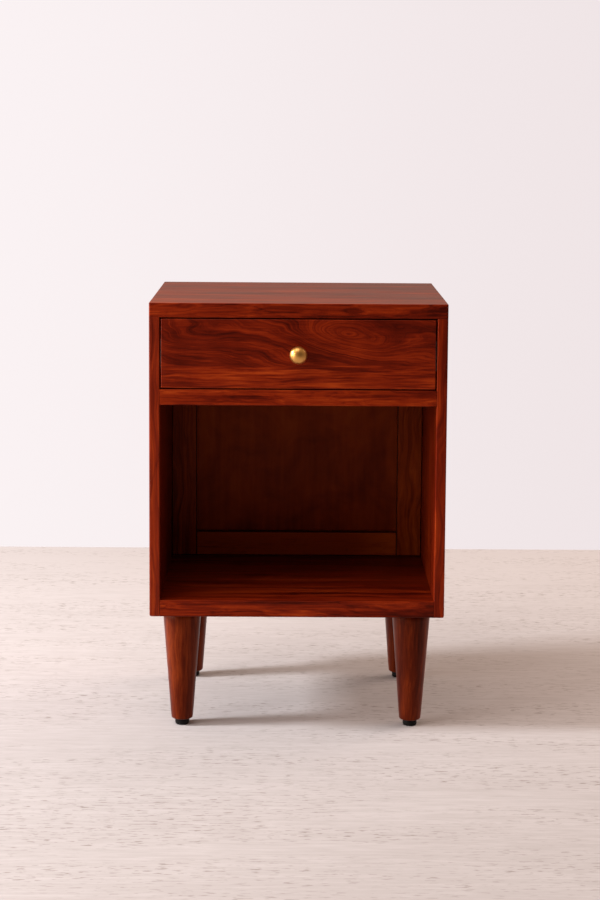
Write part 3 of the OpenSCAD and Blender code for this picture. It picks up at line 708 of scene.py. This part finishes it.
def dress_cad_nodes():
    """Gives every CAD node still in sight its own material, or its slot's."""
    by_slot, by_node = slot_materials(), node_materials()
    for node, obj in frame["nodes"].items():
        if not obj.hide_render:
            material = by_node.get(node) or by_slot[SLOT_OF[node]]
            obj.data.materials.clear()
            obj.data.materials.append(material)


# ---------------------------------------------------------------- studio

# The floor reaches this far behind, in front of and beside the origin, in metres
FLOOR_BEHIND = 1.17
FLOOR_FRONT = 4.5
FLOOR_HALF = 2.4

FLOOR_DARK = (0.43, 0.384, 0.378)
FLOOR_PALE = (0.565, 0.518, 0.519)
FLOOR_PIT = (0.17, 0.125, 0.105)
PIT_SHARE = 0.60

# The wall's colour at the left and the right of where the camera looks, with painted light at the left and
# painted shade at the right
WALL_LIT_LEFT = (0.965, 0.895, 0.905, 1.0)
WALL_SHADED_RIGHT = (0.865, 0.780, 0.790, 1.0)
WALL_FADE = 0.20

# The room's light: its colour, its least strength, and what each direction adds between two values of an axis
ROOM_COLOUR = (1.0, 0.78, 0.63, 1.0)
ROOM_LEAST = 0.04
ROOM_PARTS = (("Z", 0.30, 0.95, 0.42), ("X", -0.10, -0.90, 0.45), ("X", 0.40, 0.95, 0.35),
              ("Y", 0.20, 0.90, 0.44), ("Y", -0.20, -1.00, 0.04))

# Area lights: name, place, target, size, watts, colour
LIGHTS = (
    ("window_left", (-3.2, -0.56, 2.2), (0, 0, 0.30), (0.6, 0.6), 170, (0.92, 0.97, 1.0)),
    ("window_low", (-2.8, -1.30, 1.00), (0, 0, 0.20), (2.4, 1.3), 94, (1.0, 0.97, 0.95)),
    ("soft_front", (-0.7, -1.25, 3.0), (0, -0.18, 0.40), (1.6, 1.6), 26, (1.0, 0.96, 0.93)),
    ("fill_right", (2.7, 1.25, 1.7), (0.3, 0, 0.0), (2.4, 2.0), 55, (1.0, 0.82, 0.70)),
)

# The camera: its lens in mm, its upward shift, its place from the case's front, and its angles in degrees
SENSOR = 36.0
LENS = 81.44
SHIFT_Y = -100 / 900
CAMERA_X, CAMERA_BACK, CAMERA_Z = -0.011, 3.040, 0.952
CAMERA_DOWN, CAMERA_TURN, CAMERA_ROLL = 6.68, -0.25, 0.38


def floor_material():
    """Pale stone with long faint streaks and patches of small dark pits, and painted light that brightens it
    towards the back.
    """
    g = Graph("studio_floor")
    _, y, _ = g.split(g.position)
    cloud = g.noise(g.vector("MULTIPLY", g.position, (1.0, 3.5, 1.0)), 2.2, 5.0, 0.6)
    streak = g.noise(g.vector("MULTIPLY", g.position, (3.5, 60.0, 1.0)), 1.0, 6.0, 0.68, 0.2)
    fine = g.noise(g.vector("MULTIPLY", g.position, (18.0, 170.0, 1.0)), 1.0, 4.0, 0.6)
    # Painted light: the tone brightens towards the back, near the backdrop.
    tone = g.math("MULTIPLY_ADD", y, 0.32, blend_tone(g, (cloud, 0.30), (streak, 0.55), (fine, 0.70)))
    colour = g.mix(g.remap(tone, 0.2, 0.8, smooth=False), FLOOR_DARK, FLOOR_PALE)
    pits = g.remap(g.noise(g.vector("MULTIPLY", g.position, (50.0, 260.0, 1.0)), 1.0, 2.0, 0.5), 0.58, 0.66)
    patches = g.noise(g.vector("MULTIPLY", g.position, (1.6, 11.0, 1.0)), 1.0, 4.0, 0.6)
    pitted = g.math("MULTIPLY", pits, g.remap(patches, 0.36, 0.60))
    colour = g.mix(g.math("MULTIPLY", pitted, PIT_SHARE), colour, FLOOR_PIT)
    return g.principled(colour, 0.7, Specular_IOR_Level=0.1)


def make_floor():
    """A plain pale floor that ends in a straight line behind the object, where the backdrop begins."""
    material = floor_material()
    mesh = bpy.data.meshes.new("floor")
    corners = [(-FLOOR_HALF, -FLOOR_FRONT), (FLOOR_HALF, -FLOOR_FRONT), (FLOOR_HALF, FLOOR_BEHIND),
               (-FLOOR_HALF, FLOOR_BEHIND)]
    mesh.from_pydata([(x, y, 0) for x, y in corners], [], [(0, 1, 2, 3)])
    mesh.materials.append(material)
    floor = bpy.data.objects.new("studio_floor", mesh)
    bpy.context.scene.collection.objects.link(floor)


def wall_colour(nodes, links, x):
    """The backdrop's colour, which fades from painted light at the left of the view to painted shade at its
    right.
    """
    fade = nodes.new("ShaderNodeMapRange")
    fade.interpolation_type = "SMOOTHSTEP"
    fade.inputs["From Min"].default_value = -WALL_FADE
    fade.inputs["From Max"].default_value = WALL_FADE
    links.new(x, fade.inputs["Value"])
    wall = nodes.new("ShaderNodeMix")
    wall.data_type = "RGBA"
    wall.inputs[6].default_value = WALL_LIT_LEFT
    wall.inputs[7].default_value = WALL_SHADED_RIGHT
    links.new(fade.outputs[0], wall.inputs[0])
    return wall.outputs[2]


def room_strength(nodes, links, axes):
    """The room's brightness by direction, as a sum of its parts."""
    strength = None
    for axis, low, high, bright in ROOM_PARTS:
        part = nodes.new("ShaderNodeMapRange")
        part.inputs["From Min"].default_value = low
        part.inputs["From Max"].default_value = high
        part.inputs["To Max"].default_value = bright
        links.new(axes[axis], part.inputs["Value"])
        total = nodes.new("ShaderNodeMath")
        total.inputs[0].default_value = ROOM_LEAST
        if strength is not None:
            links.new(strength, total.inputs[0])
        links.new(part.outputs[0], total.inputs[1])
        strength = total.outputs[0]
    return strength


def make_world():
    """A pale wall for the camera, with painted light at the left and painted shade at the right; for light
    and reflections, a warm room that is darkest in front.
    """
    world = bpy.data.worlds.new("studio")
    bpy.context.scene.world = world
    world.use_nodes = True
    nodes, links = world.node_tree.nodes, world.node_tree.links
    nodes.clear()
    out = nodes.new("ShaderNodeOutputWorld")
    choose = nodes.new("ShaderNodeMixShader")
    path = nodes.new("ShaderNodeLightPath")
    seen, room = nodes.new("ShaderNodeBackground"), nodes.new("ShaderNodeBackground")
    room.inputs["Color"].default_value = ROOM_COLOUR
    toward = nodes.new("ShaderNodeTexCoord")
    split = nodes.new("ShaderNodeSeparateXYZ")
    links.new(toward.outputs["Generated"], split.inputs[0])
    links.new(wall_colour(nodes, links, split.outputs["X"]), seen.inputs["Color"])
    links.new(room_strength(nodes, links, split.outputs), room.inputs["Strength"])
    links.new(path.outputs["Is Camera Ray"], choose.inputs["Fac"])
    links.new(room.outputs[0], choose.inputs[1])
    links.new(seen.outputs[0], choose.inputs[2])
    links.new(choose.outputs[0], out.inputs["Surface"])


def area_light(name, place, target, size, power, colour):
    """A rectangular light at place that faces target."""
    light = bpy.data.lights.new(name, "AREA")
    light.shape = "RECTANGLE"
    light.size, light.size_y = size
    light.energy = power
    light.color = colour
    lamp = bpy.data.objects.new(name, light)
    bpy.context.scene.collection.objects.link(lamp)
    lamp.location = place
    lamp.rotation_euler = (Vector(target) - Vector(place)).to_track_quat("-Z", "Y").to_euler()


def make_camera():
    """The camera stands in front of the case, a little above its top, and looks slightly down."""
    data = bpy.data.cameras.new("camera")
    data.sensor_width = SENSOR
    data.lens = LENS
    data.shift_y = SHIFT_Y
    data.clip_end = 50.0
    camera = bpy.data.objects.new("camera", data)
    bpy.context.scene.collection.objects.link(camera)
    tilt, turn, roll = (math.radians(a) for a in (90 - CAMERA_DOWN, CAMERA_TURN, CAMERA_ROLL))
    place = Matrix.Translation((CAMERA_X, FRONT_Y - CAMERA_BACK, CAMERA_Z))
    camera.matrix_world = (place @ Matrix.Rotation(turn, 4, "Z") @ Matrix.Rotation(tilt, 4, "X")
                           @ Matrix.Rotation(roll, 4, "Z"))
    bpy.context.scene.camera = camera


# ---------------------------------------------------------------- the whole scene

make_case_boards()
make_drawer_front()
for i, corner in enumerate(CORNERS):
    make_leg(corner, 31.3 + 4.7 * i)
glide_plastic = plastic("plastic_black")
for corner in CORNERS:
    make_glide(corner, glide_plastic)
make_knob()
dress_cad_nodes()

make_floor()
make_world()
for light in LIGHTS:
    area_light(*light)
make_camera()
bpy.context.scene.view_settings.view_transform = "Standard"
